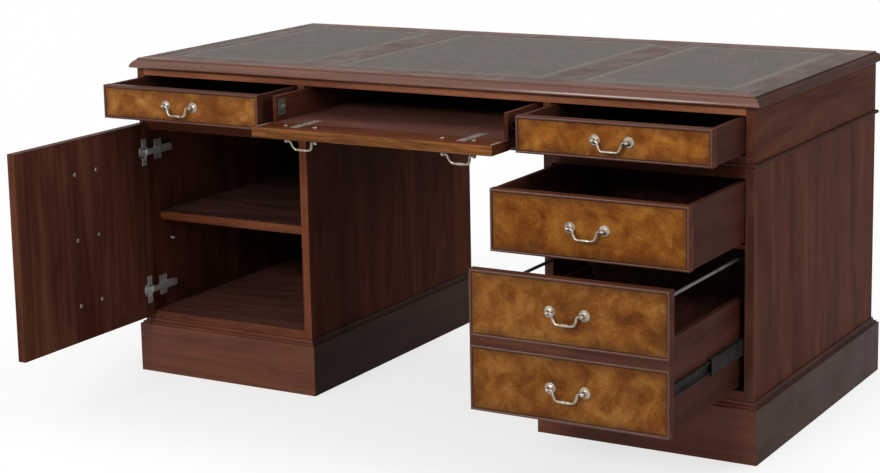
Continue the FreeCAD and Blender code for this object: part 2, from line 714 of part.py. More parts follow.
def drop_front():
    z0, z1 = FRIEZE_FRONT_Z
    y_face, y_inner = -HALF_D, TRAY_FRONT
    nose = FRONT_T / 2
    round_in = nose * (1 - math.sqrt(0.5))
    pivot_y, pivot_z = FLAP_PIVOT
    # the inner edge of the foot is rounded about the pivot, so that it clears the tray
    profile = [
        (y_face, z0 + 2),
        (y_face + 2, z0),
        (y_face + nose, z0),
        ((y_inner - round_in, z0 + round_in), (y_inner, z0 + nose)),
        (y_inner, z1 - 4),
        ((y_inner - 1.2, z1 - 1.2), (y_inner - 4, z1)),
        (y_face, z1),
    ]
    board = extrude_x(profile, -FLAP_HALF, FLAP_HALF)
    # the bead stops above the foot, which turns past the tray
    bead = cock_bead((-FLAP_HALF, FLAP_HALF), (z0 + 2, z1), y_face)
    board = board.fuse(bead).removeSplitter()
    centres = [(x, (z0 + z1) / 2) for x in (-FLAP_HANDLE_X, FLAP_HANDLE_X)]
    plates = []
    for centre in centres:
        board = board.cut(bolt_holes(centre, y_face))
    for x in (-STRAP_X, STRAP_X):
        across = strap_span(x, STRAP_W / 2)
        seat = box(across, (y_inner - STRAP_T, y_inner + 1), (z0 - 1, z0 + STRAP_L))
        pocket = box(across, (pivot_y - KNUCKLE_BOX, y_inner + 1), (z0 - 1, pivot_z + KNUCKLE_BOX))
        board = board.cut([seat, pocket])
    for x in (-CATCH_X - 6, CATCH_X + 6):
        sunk = box(strap_span(x, 4), (y_inner - 1.2, y_inner + 1), (z0 + 26, z0 + 70))
        board = board.cut(sunk)
        plates.append(box(strap_span(x, 3.9), (y_inner - 1.2, y_inner - 0.1), (z0 + 26.1, z0 + 69.9)))
    node("drop_front", opened_flap([board]))
    node("drop_front_catch_plates", opened_flap(plates))
    posts = [part for centre in centres for part in handle_posts(centre, y_face)]
    node("drop_front_handle_posts", opened_flap(posts))
    # after the turn, a point out from the face lies below the level front
    hang_y = pivot_y - TRAY_OUT - (centres[0][1] - pivot_z)
    hang_z = pivot_z + (y_face - POST_OUT - pivot_y)
    for label, x in (("left", -FLAP_HANDLE_X), ("right", FLAP_HANDLE_X)):
        bow = bail((x, hang_z), hang_y)
        bow.rotate(Vector(x, hang_y, hang_z), Vector(1, 0, 0), FLAP_BAIL_LEAN)
        node(f"drop_front_{label}_bail", bow)


def strap_hinges():
    """Sunk strap hinges. The tray's leaf ends in a cranked tongue that sits between the two
    cheeks of the drop front's leaf, on a pin at the middle of the board's thickness."""
    y, z = FLAP_PIVOT[0] - TRAY_OUT, FLAP_PIVOT[1]
    slack = 0.2
    top = TRAY_TOP - slack
    plate_z = (TRAY_TOP - STRAP_T, top)
    joint_y = TRAY_FRONT - TRAY_OUT
    cheek_r = FRONT_T / 2 - slack
    pin_r = 1.5
    tray_leaves, flap_leaves = [], []
    for x in (-STRAP_X, STRAP_X):
        wide = strap_span(x, STRAP_W / 2 - slack)
        narrow = strap_span(x, STRAP_SLOT / 2 - slack)
        slot = strap_span(x, STRAP_SLOT / 2)
        plate = box(wide, (joint_y + 0.6, joint_y + STRAP_L), plate_z)
        crank = box(narrow, (joint_y + 0.6, joint_y + 8), (z - KNUCKLE_R, top))
        tongue = box(narrow, (y, joint_y + 8), (z - KNUCKLE_R, z + KNUCKLE_R))
        knuckle = rod((narrow[0], y, z), (narrow[1], y, z), KNUCKLE_R)
        leaf = plate.fuse([crank, tongue, knuckle])
        leaf = leaf.cut(rod((wide[0], y, z), (wide[1], y, z), pin_r + 0.06))
        tray_leaves.append(leaf.removeSplitter())
        cheeks = rod((wide[0], y, z), (wide[1], y, z), cheek_r)
        cheeks = cheeks.common(box(wide, (y - KNUCKLE_BOX + slack, y + 20),
                                   (z - KNUCKLE_BOX + slack, z + 20)))
        strap = box(wide, (joint_y - STRAP_L, y), plate_z)
        gap = box(slot, (y - KNUCKLE_BOX, y + 20), (z - 20, z + 20))
        pin = rod((wide[0], y, z), (wide[1], y, z), pin_r)
        flap_leaves.append(strap.fuse(cheeks).cut(gap).fuse(pin).removeSplitter())
    node("tray_hinge_leaves", tray_leaves)
    node("drop_front_hinge_leaves", flap_leaves)


# ---- cupboard door --------------------------------------------------------------------------
DOOR_X = (-HALF_W + DOOR_REVEAL, -INNER_X - DOOR_REVEAL)
DOOR_BACK = -HALF_D - 3.0                   # inner face of the closed door
DOOR_FACE = DOOR_BACK - FRONT_T
HINGE_EDGE, HINGE_DEEP = 12.3, 10.3         # pivot from the hinge edge and from the inner face
HINGE_SWEEP = 13.0                          # the hinge corner is rounded to this about the pivot
HINGE_KNUCKLE_R, HINGE_PIN_R = 2.0, 1.0
DOOR_PIVOT = (DOOR_X[0] + HINGE_EDGE, DOOR_BACK - HINGE_DEEP)
HINGE_Z = (208.0, 546.0)
CUP_R, CUP_DEEP, CUP_EDGE = 17.5, 13.5, 6.0
FLANGE_L, FLANGE_T = 65.0, 1.4
FLANGE_EDGE = (12.0, 28.0)                  # of the flange, from the door's hinge edge


def opened_door(shapes):
    pivot = Vector(*DOOR_PIVOT, 0)
    swung = []
    for shape in shapes:
        copy = shape.copy()
        copy.rotate(pivot, Vector(0, 0, 1), -DOOR_OPEN)
        swung.append(copy)
    return swung


def door_panels():
    """The door's face repeats the fronts of the other pedestal, but reaches higher."""
    x = (-FRONT_X1, -FRONT_X0)
    upper = (UPPER_FRONT_Z[0], UPPER_FRONT_Z[1] + 9)
    return [(x, upper)] + [(x, z) for _, z in file_panels()]


def cupboard_door():
    x0, x1 = DOOR_X
    y0, y1 = DOOR_FACE, DOOR_BACK
    pivot_x, pivot_y = DOOR_PIVOT
    # the corner beside the hinges is rounded about the pivot, so that it clears the carcass
    start = pivot_x - math.sqrt(HINGE_SWEEP ** 2 - HINGE_DEEP ** 2)
    end = pivot_y + math.sqrt(HINGE_SWEEP ** 2 - HINGE_EDGE ** 2)
    diagonal = HINGE_SWEEP * math.sqrt(0.5)
    plan = [
        (x0, y0),
        (x1, y0),
        (x1, y1),
        (start, y1),
        ((pivot_x - diagonal, pivot_y + diagonal), (x0, end)),
    ]
    face = Part.Face(outline(plan, lambda p: Vector(p[0], p[1], DOOR_Z[0])))
    board = face.extrude(Vector(0, 0, DOOR_Z[1] - DOOR_Z[0]))
    centres = [(-PEDESTAL_X, (z[0] + z[1]) / 2) for _, z in door_panels()]
    for centre in centres:
        board = board.cut(bolt_holes(centre, DOOR_FACE))
    cup_x = DOOR_X[0] + CUP_EDGE + CUP_R
    for z in HINGE_Z:
        board = board.cut(rod((cup_x, DOOR_BACK + 1, z), (cup_x, DOOR_BACK - CUP_DEEP, z), CUP_R))
    for panel_x, panel_z in door_panels():
        board = board.fuse(cock_bead(panel_x, panel_z, DOOR_FACE))
    node("cupboard_door", opened_door([board.removeSplitter()]))
    posts = [part for centre in centres for part in handle_posts(centre, DOOR_FACE)]
    node("door_handle_posts", opened_door(posts))
    for label, centre in zip(("upper", "middle", "lower"), centres):
        hanging = bail(centre, DOOR_FACE - POST_OUT)
        node(f"door_{label}_bail", opened_door([hanging]))


def door_hinges():
    """Concealed hinges: a steel cup let into the door, and a cranked arm on a plate."""
    cups, arms = [], []
    cup_x = DOOR_X[0] + CUP_EDGE + CUP_R
    wall = 0.8
    pivot_x, pivot_y = DOOR_PIVOT
    for z in HINGE_Z:
        r = CUP_R - 0.15
        depth = CUP_DEEP - 0.2
        shell = rod((cup_x, DOOR_BACK, z), (cup_x, DOOR_BACK - depth, z), r)
        shell = shell.cut(rod((cup_x, DOOR_BACK + 1, z), (cup_x, DOOR_BACK - depth + wall, z),
                              r - wall))
        flange = box((DOOR_X[0] + FLANGE_EDGE[0], DOOR_X[0] + FLANGE_EDGE[1]),
                     (DOOR_BACK, DOOR_BACK + FLANGE_T), (z - FLANGE_L / 2, z + FLANGE_L / 2))
        flange = flange.cut(rod((cup_x, DOOR_BACK - 1, z), (cup_x, DOOR_BACK + 3, z), r - wall))
        cup = shell.fuse(flange)
        # the pin that the arm turns on crosses the cup from top to bottom
        pin_z = math.sqrt((r - wall / 2) ** 2 - (pivot_x - cup_x) ** 2)
        cup = cup.fuse(rod((pivot_x, pivot_y, z - pin_z), (pivot_x, pivot_y, z + pin_z),
                           HINGE_PIN_R))
        cups.append(cup.removeSplitter())
        arms.append(hinge_arm(z, pivot_x, pivot_y))
    node("door_hinge_cups", opened_door(cups))
    node("door_hinge_arms", arms)


def hinge_arm(z, pivot_x, pivot_y):
    """Mounting plate on the side panel, and the cranked arm that reaches into the cup."""
    face = -OPEN_X1
    half, tip = 7.0, 4.0
    arm_x = (pivot_x + HINGE_SWEEP + 0.4, pivot_x + HINGE_SWEEP + 4.0)
    low_y, high_y = pivot_y - HINGE_KNUCKLE_R, pivot_y + 0.4
    plate = box((face, face + 3), (-HALF_D + 24, -HALF_D + 50), (z - 24, z + 24))
    block = box((face + 3, arm_x[1]), (-HALF_D + 18, -HALF_D + 78), (z - half - 1, z + half + 1))
    reach = box(arm_x, (low_y, -HALF_D + 20), (z - half, z + half))
    crank = box((pivot_x, arm_x[1]), (low_y, high_y), (z - tip, z + tip))
    knuckle = rod((pivot_x, pivot_y, z - tip), (pivot_x, pivot_y, z + tip), HINGE_KNUCKLE_R)
    bore = rod((pivot_x, pivot_y, z - 30), (pivot_x, pivot_y, z + 30), HINGE_PIN_R + 0.05)
    return plate.fuse([block, reach, crank, knuckle]).cut(bore).removeSplitter()


# ---- whole desk -----------------------------------------------------------------------------
def desk():
    top()
    frieze()
    pedestals()
    drawer_bearers()
    cupboard_shelf()
    shelf_studs()
    plain_drawer("left_drawer", "left", FRIEZE_FRONT_Z, FRIEZE_BOX_L, LEFT_DRAWER_OUT)
    plain_drawer("right_drawer", "right", FRIEZE_FRONT_Z, FRIEZE_BOX_L, RIGHT_DRAWER_OUT)
    plain_drawer("upper_drawer", "right", UPPER_FRONT_Z, PEDESTAL_BOX_L, UPPER_DRAWER_OUT)
    file_drawer()
    file_slides()
    keyboard_tray()
    tray_slides()
    drop_front()
    strap_hinges()
    cupboard_door()
    door_hinges()


def export():
    os.makedirs("parts", exist_ok=True)
    for name, solids in NODES.items():
        shape = solids[0] if len(solids) == 1 else Part.makeCompound(solids)
        shape.exportStep(f"parts/{name}.step")
        print(f"{name}: {len(solids)} solid(s), {sum(s.Volume for s in solids) / 1e3:.1f} cm3")


desk()
export()
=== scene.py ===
"""Partners desk with open drawers, cupboard door and keyboard tray: materials, light and camera."""
from functools import cached_property
import json
import math

import bpy
from mathutils import Matrix, Vector


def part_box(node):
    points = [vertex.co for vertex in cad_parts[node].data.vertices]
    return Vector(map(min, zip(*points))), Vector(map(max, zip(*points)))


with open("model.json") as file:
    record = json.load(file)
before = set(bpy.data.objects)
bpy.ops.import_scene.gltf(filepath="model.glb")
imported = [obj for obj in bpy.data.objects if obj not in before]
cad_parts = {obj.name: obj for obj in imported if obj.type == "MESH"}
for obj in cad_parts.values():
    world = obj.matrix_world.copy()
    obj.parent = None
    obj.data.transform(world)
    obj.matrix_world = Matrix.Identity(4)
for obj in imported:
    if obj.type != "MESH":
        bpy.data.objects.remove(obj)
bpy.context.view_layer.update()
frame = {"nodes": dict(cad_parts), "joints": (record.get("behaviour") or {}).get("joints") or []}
nodes = frame["nodes"]
joints = {joint["name"]: joint for joint in frame["joints"]}

WHITE = (1.0, 1.0, 1.0)
PLAIN = (1.0, 1.0, 1.0)         # the tint that changes nothing
EDGE_RADIUS = 0.0009            # arrises are softened this much, in metres
SQUARE_ON = 0.6                 # a surface faces a direction from this cosine up


class Graph:
    """The shader nodes of a material or a world, with short ways to add and join them."""

    def __init__(self, owner, output="ShaderNodeOutputMaterial"):
        owner.use_nodes = True
        self.owner = owner
        self.tree = owner.node_tree
        self.tree.nodes.clear()
        self.out = self.add(output)

    @cached_property
    def place(self):
        """Where the surface is in the model at rest, in metres."""
        return self.add("ShaderNodeTexCoord").outputs["Object"]

    def add(self, kind, inputs=None, **props):
        made = self.tree.nodes.new(kind)
        for key, value in props.items():
            setattr(made, key, value)
        for key, value in (inputs or {}).items():
            self.feed(made.inputs[key], value)
        return made

    def feed(self, socket, value):
        if isinstance(value, bpy.types.NodeSocket):
            self.tree.links.new(value, socket)
        elif socket.type == "RGBA":
            socket.default_value = (*value, 1.0)
        else:
            socket.default_value = value

    def finish(self, shader):
        self.tree.links.new(shader, self.out.inputs["Surface"])
        return self.owner

    # numbers

    def math(self, operation, a, b=0.0):
        return self.add("ShaderNodeMath", {0: a, 1: b}, operation=operation).outputs[0]

    def plus(self, a, b):
        return self.math("ADD", a, b)

    def minus(self, a, b):
        return self.math("SUBTRACT", a, b)

    def times(self, a, b):
        return self.math("MULTIPLY", a, b)

    def least(self, a, b):
        return self.math("MINIMUM", a, b)

    def most(self, a, b):
        return self.math("MAXIMUM", a, b)

    def off(self, a, b=0.0):
        """How far a is from b."""
        return self.math("ABSOLUTE", self.minus(a, b))

    def weighed(self, *layers):
        """The sum of the values, each times its weight."""
        total = None
        for value, weight in layers:
            part = self.times(value, weight)
            total = part if total is None else self.plus(total, part)
        return total

    def span(self, value, low, high, to_low=0.0, to_high=1.0):
        made = self.add("ShaderNodeMapRange", {
            "Value": value, "From Min": low, "From Max": high, "To Min": to_low, "To Max": to_high})
        return made.outputs["Result"]

    def blend(self, fac, a, b):
        return self.add("ShaderNodeMix", {"Factor": fac, 2: a, 3: b}, data_type="FLOAT").outputs[0]

    # vectors

    def stretch(self, vector, scale, shift=(0, 0, 0)):
        made = self.add("ShaderNodeMapping", {"Vector": vector, "Scale": scale, "Location": shift})
        return made.outputs[0]

    def move(self, vector, shift):
        return self.stretch(vector, (1, 1, 1), shift)

    def choose(self, fac, a, b):
        return self.add("ShaderNodeMix", {"Factor": fac, 4: a, 5: b}, data_type="VECTOR").outputs[1]

    def axes(self, vector):
        made = self.add("ShaderNodeSeparateXYZ", {"Vector": vector})
        return made.outputs[0], made.outputs[1], made.outputs[2]

    def vector(self, x, y, z):
        return self.add("ShaderNodeCombineXYZ", {"X": x, "Y": y, "Z": z}).outputs[0]

    def along(self, vector, axis):
        """The coordinates with the grain's direction first."""
        x, y, z = self.axes(vector)
        turned = {"x": (x, y, z), "y": (y, x, z), "z": (z, x, y)}
        return self.vector(*turned[axis])

    def facing(self, direction):
        """The cosine between the surface and a direction of the model, such as "-y"."""
        sign, axis = direction
        normal = self.axes(self.add("ShaderNodeTexCoord").outputs["Normal"])["xyz".index(axis)]
        return self.times(normal, -1.0 if sign == "-" else 1.0)

    def faces(self, direction):
        """1 where the surface faces that direction of the model, else 0."""
        return self.math("GREATER_THAN", self.facing(direction), SQUARE_ON)

    # patterns and colours

    def noise(self, vector, scale, detail=2.0, rough=0.5, distortion=0.0, output="Fac"):
        made = self.add("ShaderNodeTexNoise", {
            "Vector": vector, "Scale": scale, "Detail": detail, "Roughness": rough,
            "Distortion": distortion})
        return made.outputs[output]

    def cells(self, vector, scale, feature="F1", output="Distance", random=1.0):
        made = self.add("ShaderNodeTexVoronoi", {
            "Vector": vector, "Scale": scale, "Randomness": random}, feature=feature)
        return made.outputs[output]

    def ramp(self, fac, stops, smooth=False):
        made = self.add("ShaderNodeValToRGB", {"Fac": fac})
        elements = made.color_ramp.elements
        made.color_ramp.interpolation = "B_SPLINE" if smooth else "LINEAR"
        while len(elements) < len(stops):
            elements.new(0.5)
        for element, (at, colour) in zip(elements, stops):
            element.position = at
            element.color = (*colour, 1.0)
        return made.outputs["Color"]

    def mix(self, fac, a, b, how="MIX"):
        made = self.add("ShaderNodeMix", data_type="RGBA", blend_type=how)
        self.feed(made.inputs["Factor"], fac)
        self.feed(made.inputs[6], a)
        self.feed(made.inputs[7], b)
        return made.outputs[2]

    def tinted(self, colour, tint):
        return self.mix(1.0, colour, tint, "MULTIPLY")

    # surfaces

    def edges(self):
        """The normal with its edges softened, and 1 on the edges themselves."""
        soft = self.add("ShaderNodeBevel", {"Radius": EDGE_RADIUS}, samples=6).outputs[0]
        flat = self.add("ShaderNodeNewGeometry").outputs["Normal"]
        turn = self.add("ShaderNodeVectorMath", {0: soft, 1: flat}, operation="DOT_PRODUCT")
        return soft, self.span(turn.outputs["Value"], 0.99, 0.88)

    def shade(self, colour, rough, height, lift=0.0004, strength=0.5, normal=None, **sockets):
        bump = self.add("ShaderNodeBump", {"Height": height, "Distance": lift, "Strength": strength})
        if normal is not None:
            self.feed(bump.inputs["Normal"], normal)
        inputs = {"Base Color": colour, "Roughness": rough, "Normal": bump.outputs[0]}
        inputs.update({key.replace("_", " "): value for key, value in sockets.items()})
        return self.finish(self.add("ShaderNodeBsdfPrincipled", inputs).outputs[0])


def material_graph(name):
    return Graph(bpy.data.materials.new(name))


def paint(names, material):
    for name in names:
        nodes[name].data.materials[0] = material


# ---- places of the model, in metres ---------------------------------------------------------
def pair_across(name):
    """The middle of the right-hand piece of a mirrored pair, and half its width."""
    reach = [abs(vertex.co.x) for vertex in nodes[name].data.vertices]
    return (min(reach) + max(reach)) / 2, (max(reach) - min(reach)) / 2


def panel_of(name):
    """The rectangle that a drawer front covers, as spans along X and Z."""
    low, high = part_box(name)
    return (low.x, high.x), (low.z, high.z)


def shut_place(g, joint):
    """Where the surface would be if its hinge were shut, at the lower end of its range."""
    turned = g.add("ShaderNodeVectorRotate", {
        "Vector": g.place, "Center": joint["pos_m"], "Axis": joint["axis"],
        "Angle": math.radians(joint["range_deg"][0])}, rotation_type="AXIS_ANGLE")
    return turned.outputs[0]


CARCASS_HALF_W, CARCASS_HALF_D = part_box("frieze_ends")[1].xy
PEDESTAL_X, PEDESTAL_HALF_W = pair_across("left_sides")
LEFT_SPAN = panel_of("left_drawer_front")[0]
FILE_SPAN, (FILE_LOW, FILE_HIGH) = panel_of("file_drawer_front")
FILE_BAND = (0.294, 0.3125)                             # plain band between the file front's panels
FILE_PANEL_Z = ((FILE_BAND[1], FILE_HIGH), (FILE_LOW, FILE_BAND[0]))
DOOR_PANEL_Z = ((0.466, 0.605), *FILE_PANEL_Z)
FLAP_HALF_W, FLAP_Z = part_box("drop_front")[1].x, (0.652, 0.728)
BEAD = 0.0055                                           # width of the cock beads


# ---- wood -----------------------------------------------------------------------------------
MAHOGANY = [
    (0.36, (0.024, 0.0066, 0.0038)),
    (0.46, (0.050, 0.0145, 0.0080)),
    (0.54, (0.084, 0.0260, 0.0138)),
    (0.64, (0.135, 0.0460, 0.0225)),
]
MAHOGANY_MIDDLE = 0.505
MAHOGANY_PORE = (0.010, 0.0032, 0.0024)
# lighter arrises: wear, and a painted highlight along them
MAHOGANY_WEAR_AND_HIGHLIGHT = (0.130, 0.055, 0.032)
BURR = [
    (0.34, (0.080, 0.0190, 0.0028)),
    (0.44, (0.165, 0.0490, 0.0070)),
    (0.52, (0.255, 0.0900, 0.0140)),
    (0.60, (0.340, 0.1400, 0.0270)),
    (0.70, (0.430, 0.2050, 0.0480)),
]
BURR_MIDDLE = 0.525
BURR_ISLAND = (0.180, 0.0500, 0.0100)
BURR_HALO = (0.14, 0.045, 0.007)
BURR_EYE = (0.040, 0.0110, 0.003)
BURR_SHADED = (0.052, 0.0180, 0.0070)
# a near-black line inside the cock beads: painted shade along their raised edge
BEAD_EDGE_SHADE = (0.012, 0.0040, 0.0022)
COCK_BEAD = (0.085, 0.0320, 0.0200)


def mahogany(g, place, tint=PLAIN, calm=0.35):
    """Colour, roughness and height of polished mahogany. The grain runs along the first axis.

    calm draws the figure in towards its middle tone."""
    broad = g.noise(g.stretch(place, (0.7, 4.5, 4.5)), 2.0, 4.0, 0.6, 1.6)
    ribbon = g.noise(g.stretch(place, (1.9, 34.0, 34.0)), 1.0, 4.0, 0.6, 1.1)
    streak = g.noise(g.stretch(place, (3.0, 150.0, 150.0)), 1.0, 2.0, 0.55)
    fibre = g.noise(g.stretch(place, (9.0, 480.0, 480.0)), 1.0, 3.0, 0.62)
    pore = g.span(g.noise(g.stretch(place, (46.0, 1300.0, 1300.0)), 1.0, 1.0), 0.60, 0.70)
    figure = g.weighed((broad, 0.48), (ribbon, 0.24), (streak, 0.15), (fibre, 0.13))
    figure = g.blend(calm, figure, MAHOGANY_MIDDLE)
    stops = [(at, tuple(c * t for c, t in zip(colour, tint))) for at, colour in MAHOGANY]
    colour = g.ramp(figure, stops, smooth=True)
    colour = g.mix(g.times(pore, 0.5), colour, MAHOGANY_PORE)
    smudge = g.noise(place, 9.0, 3.0, 0.6)
    rough = g.plus(g.span(smudge, 0.35, 0.7, 0.26, 0.38), g.times(pore, 0.12))
    height = g.minus(g.times(fibre, 0.35), g.times(pore, 0.5))
    return colour, rough, height


def sway(g, place, scale, reach):
    """A push in any direction, by a noise of that scale and up to about half that reach."""
    noise = g.noise(place, scale, output="Color")
    centred = g.add("ShaderNodeVectorMath", {0: noise, 1: (0.5, 0.5, 0.5)}, operation="SUBTRACT")
    return g.add("ShaderNodeVectorMath", {0: centred.outputs[0], "Scale": reach},
                 operation="SCALE").outputs[0]


def burr(g, place):
    """Colour, roughness and height of polished burr veneer: swirled, clouded and full of eyes."""
    bent = place
    for scale, reach in ((7.0, 0.07), (30.0, 0.016)):
        push = sway(g, place, scale, reach)
        bent = g.add("ShaderNodeVectorMath", {0: bent, 1: push}, operation="ADD").outputs[0]
    cloud = g.noise(bent, 19.0, 3.0, 0.5, 1.4)
    patch = g.axes(g.cells(bent, 34.0, "SMOOTH_F1", "Color"))[0]
    knot = g.cells(bent, 21.0)
    curl = g.noise(g.stretch(bent, (1.0, 1.0, 1.9)), 75.0, 4.0, 0.6, 3.6)
    ring = g.math("SINE", g.weighed((knot, 62.0), (curl, 9.0)))
    fleck = g.noise(g.stretch(bent, (1.0, 1.0, 0.4)), 420.0)
    figure = g.weighed((cloud, 0.40), (patch, 0.20), (curl, 0.30), (fleck, 0.10), (ring, 0.014))
    colour = g.ramp(g.blend(0.22, figure, BURR_MIDDLE), BURR, smooth=True)
    # redder islands lie in the amber
    island = g.span(g.noise(bent, 24.0, 2.0, 0.5, 2.0), 0.50, 0.66, 0.0, 0.45)
    colour = g.mix(island, colour, BURR_ISLAND)
    # eyes gather in clusters
    eye = g.cells(bent, 120.0, random=0.9)
    gather = g.span(g.noise(place, 15.0), 0.52, 0.66)
    halo = g.times(g.span(eye, 0.34, 0.14), gather)
    dot = g.times(g.span(eye, 0.15, 0.07), gather)
    colour = g.mix(g.times(halo, 0.25), colour, BURR_HALO)
    colour = g.mix(g.times(dot, 0.60), colour, BURR_EYE)
    rough = g.span(g.noise(place, 11.0, 3.0, 0.6), 0.35, 0.7, 0.22, 0.34)
    height = g.minus(g.times(fleck, 0.2), g.times(dot, 0.5))
    return colour, rough, height


def finish_wood(g, colour, rough, height, sheen, coat=0.0, front_sheen=None):
    """Softened edges, a little lighter on the arrises: partly wear from hands and dusters, partly a
    painted highlight.

    front_sheen is the polish of what faces the front, where it differs: its stronger reflection is a
    painted reflection, for light around the desk that falls on the fronts and not the sides. The coat
    is then only there."""
    normal, edge = g.edges()
    if front_sheen is not None:
        front = g.span(g.facing("-y"), 0.30, 0.75)
        sheen = g.blend(front, sheen, front_sheen)
        coat = g.times(front, coat) if coat else 0.0
    # lighter on the arrises: wear, and a painted highlight
    worn = g.times(edge, g.span(g.noise(g.place, 38.0, 3.0, 0.6), 0.42, 0.62, 0.12, 0.60))
    colour = g.mix(g.times(worn, 0.7), colour, MAHOGANY_WEAR_AND_HIGHLIGHT)
    return g.shade(colour, rough, height, normal=normal, Specular_IOR_Level=sheen,
                   Coat_Weight=coat, Coat_Roughness=0.12)


def wood_material(name, axis, tint=PLAIN, sheen=0.012, shift=(0, 0, 0), front_tint=None, calm=0.35,
                  front_sheen=None):
    """Mahogany with its grain along that axis.

    front_tint is the tint of what faces the front: the solid strips on the boards' front edges, with
    painted light on them and painted shade on those of the right uprights; on the backs it is a
    painted reflection."""
    g = material_graph(name)
    place = g.move(g.along(g.place, axis), shift)
    colour, rough, height = mahogany(g, place, tint, calm)
    if front_tint is not None:
        colour = g.mix(g.faces("-y"), colour, mahogany(g, place, front_tint)[0])
    return finish_wood(g, colour, rough, height, sheen, front_sheen=front_sheen)


def mitred_material(name, centre_x, half_w, tints, sheen, coat, front_sheen):
    """Grain follows each length of a mitred frame: X at the front and back, Y at the sides.

    tints are those of the front and back lengths and, on top of them, of the side lengths. The front
    lengths are tinted lighter as painted light and the side lengths darker as painted shade."""
    g = material_graph(name)
    x, y, z = g.axes(g.place)
    out_x = g.minus(g.off(g.off(x), centre_x), half_w)
    out_y = g.minus(g.off(y), CARCASS_HALF_D)
    front = g.math("GREATER_THAN", out_y, out_x)
    place = g.choose(front, g.vector(y, x, z), g.vector(x, y, z))
    colour, rough, height = mahogany(g, place, tints[0], 0.55)
    colour = g.mix(front, g.tinted(colour, tints[1]), colour)
    return finish_wood(g, colour, rough, height, sheen, coat, front_sheen)


def drawer_wood():
    g = material_graph("drawer wood")
    colour, rough, height = mahogany(g, g.along(g.place, "y"), (0.64, 0.70, 0.84), 0.5)
    return finish_wood(g, colour, g.plus(rough, 0.14), height, 0.012, front_sheen=0.06)


def depth_inside(g, u, v, panels):
    """How far inside the nearest of the rectangles ((u0, u1), (v0, v1)) a place is."""
    deepest = None
    for (u0, u1), (v0, v1) in panels:
        depth = g.minus(u, u0)
        for side in (g.minus(u1, u), g.minus(v, v0), g.minus(v1, v)):
            depth = g.least(depth, side)
        deepest = depth if deepest is None else g.most(deepest, depth)
    return deepest


def front_material(name, panels, side="-y", joint=None, grain="x", shift=(0, 0, 0), board=PLAIN,
                   amber=PLAIN, edge_veneer=None):
    """Burr inside the cock beads of a front, shaded darker towards them as a shaded polish, with
    painted shade in a thin line along them, and mahogany elsewhere.

    side is where the veneer faces at rest, and joint is the front's hinge, if it has one. amber is
    the tint of the burr, partly its own colour and partly painted light and reflection. edge_veneer
    holds two colours of veneer on what faces the front."""
    g = material_graph(name)
    place = shut_place(g, joint) if joint else g.place
    shifted = g.move(place, shift)
    faced = g.faces(side)
    x, _, z = g.axes(place)
    depth = g.minus(depth_inside(g, x, z, panels), BEAD)
    veneered = g.times(g.span(depth, 0.0, 0.0004), faced)
    beaded = g.times(g.span(g.off(depth, -BEAD / 2), BEAD / 2 + 0.0004, BEAD / 2), faced)

    wood = mahogany(g, g.move(g.along(place, grain), shift), board)
    veneer = burr(g, shifted)
    cloudy = g.noise(shifted, 26.0, 3.0, 0.6)
    shading = g.plus(g.span(depth, 0.026, 0.0), g.span(cloudy, 0.35, 0.65, -0.30, 0.22))
    shading = g.span(shading, 0.15, 1.2, 0.0, 0.66)
    veneer_colour = g.mix(shading, g.tinted(veneer[0], amber), BURR_SHADED)
    # painted shade: a near-black line just inside the cock beads, along their raised edge
    veneer_colour = g.mix(g.span(depth, 0.0024, 0.0006, 0.0, 0.85), veneer_colour, BEAD_EDGE_SHADE)
    colour = g.mix(veneered, g.mix(beaded, wood[0], COCK_BEAD), veneer_colour)
    if edge_veneer is not None:
        streaks = g.noise(g.stretch(place, (6.0, 90.0, 90.0)), 1.0, 4.0, 0.6, 1.0)
        stops = list(zip((0.36, 0.64), edge_veneer))
        colour = g.mix(g.faces("-y"), colour, g.ramp(streaks, stops))

    rough = g.blend(veneered, wood[1], veneer[1])
    height = g.blend(veneered, wood[2], veneer[2])
    # the veneered face reflects far more than the edges and sides: painted reflection over the polish
    sheen = g.blend(faced, 0.008, g.blend(veneered, 0.11, 0.06))
    return finish_wood(g, colour, rough, height, sheen, g.times(beaded, 0.45))


# the carcass
BACK_REFLECTION_TINT = (1.70, 3.60, 5.60)   # the inner faces of the backs are painted lighter and greyer, a painted reflection
# the front edges of the uprights, ends, boards and shelf take their own tints: the lippings' wood,
# lightened as painted light; the right uprights' are duller, painted shade of the open drawers
paint(["left_sides"], wood_material(
    "mahogany left upright", "z", sheen=0.005, front_tint=(1.65, 1.50, 1.20), front_sheen=0.09))
paint(["right_sides"], wood_material(
    "mahogany right upright", "z", sheen=0.005, shift=(2.0, 0.0, 1.0), front_tint=(0.92, 1.15, 1.35),
    front_sheen=0.09))
paint(["pedestal_backs"], wood_material(
    "mahogany back", "z", (0.85, 1.0, 1.1), shift=(8.0, 0.0, 1.0), front_tint=BACK_REFLECTION_TINT,
    front_sheen=0.10))
paint(["frieze_back"], wood_material(
    "mahogany frieze back", "x", (0.9, 1.0, 1.1), shift=(3.0, 5.0, 0.0), front_tint=BACK_REFLECTION_TINT,
    front_sheen=0.14))
# these boards are tinted lighter and greyer than the uprights: painted light and painted reflection
paint(["frieze_bottom", "right_drawer_rail", "pedestal_boards"], wood_material(
    "mahogany across", "x", (1.35, 1.80, 2.50), shift=(3.0, 0.0, 0.0), front_tint=(1.35, 1.25, 1.05),
    front_sheen=0.09))
# the top rail is tinted several times lighter than the rest: painted light where the top's overhang
# shades it
paint(["frieze_top_rail"], wood_material(
    "mahogany rail", "x", (3.4, 3.9, 3.6), sheen=0.05, shift=(6.0, 0.0, 3.0), front_sheen=0.12))
paint(["frieze_ends", "frieze_dividers"], wood_material(
    "mahogany deep", "y", sheen=0.005, shift=(5.0, 2.0, 0.0), front_tint=(1.32, 1.38, 1.40),
    front_sheen=0.09))
